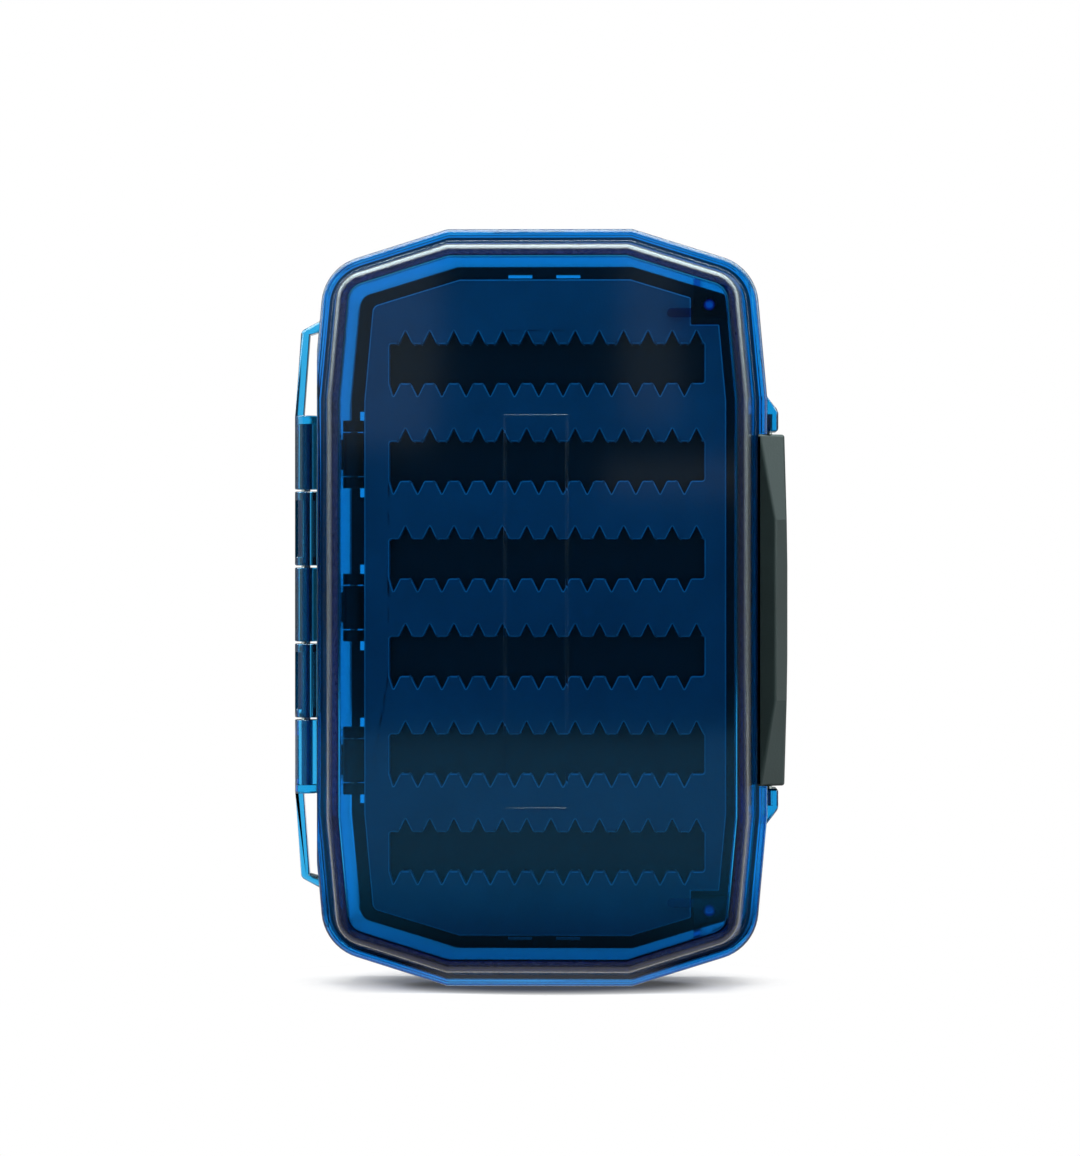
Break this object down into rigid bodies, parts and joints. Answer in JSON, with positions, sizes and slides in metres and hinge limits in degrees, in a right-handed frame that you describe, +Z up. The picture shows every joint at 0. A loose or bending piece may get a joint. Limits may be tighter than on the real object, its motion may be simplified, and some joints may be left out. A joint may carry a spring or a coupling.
{
  "type": "fly box",
  "caption": "Clear blue hard-shell fly box with a gasketed hinged lid, a side latch, lanyard loops and a swing leaf carrying comb-edged inserts.",
  "frame": {"origin": "centre of the lower end face, on the parting plane, where the box stands", "axes": "+Z up the case, -Y out through the lid, +X from the hinge towards the latch"},
  "size_m": [0.0986, 0.0403, 0.151],
  "materials": {
    "clear_blue": "gloss",
    "dark_blue": "gloss",
    "gasket_grey": "matte",
    "steel": "satin",
    "latch_grey": "matte",
    "black_plastic": "satin",
    "insert_grey": "matte"
  },
  "bodies": {
    "base": {"base_shell": "clear_blue", "rim_gasket": "gasket_grey", "hinge_pin": "steel", "latch_pin": "steel", "base_insert": "insert_grey", "lower_leaf_bracket": "black_plastic", "middle_leaf_bracket": "black_plastic", "upper_leaf_bracket": "black_plastic"},
    "lid": {"lid_shell": "clear_blue"},
    "latch": {"latch": "latch_grey"},
    "leaf": {"leaf_plate": "black_plastic", "leaf_front_insert": "insert_grey", "leaf_rear_insert": "insert_grey", "upper_catch": "dark_blue", "lower_catch": "dark_blue", "upper_catch_eyelet": "dark_blue", "lower_catch_eyelet": "dark_blue", "lower_leaf_pin": "steel", "middle_leaf_pin": "steel", "upper_leaf_pin": "steel"}
  },
  "joints": [
    {"name": "lid_hinge", "type": "hinge", "parent": "base", "child": "lid", "pos_m": [-0.0469, 0, 0.0755], "axis": [0, 0, -1], "range_deg": [0, 180]},
    {"name": "latch_pivot", "type": "hinge", "parent": "base", "child": "latch", "pos_m": [0.0458, 0.007, 0.0755], "axis": [0, 0, 1], "range_deg": [0, 90]},
    {"name": "leaf_swing", "type": "hinge", "parent": "base", "child": "leaf", "pos_m": [-0.0372, 0, 0.0755], "axis": [0, 0, -1], "range_deg": [0, 90]}
  ],
  "couplings": [
    {"joint": "leaf_swing", "follows": "lid_hinge", "ratio": 0.5}
  ]
}
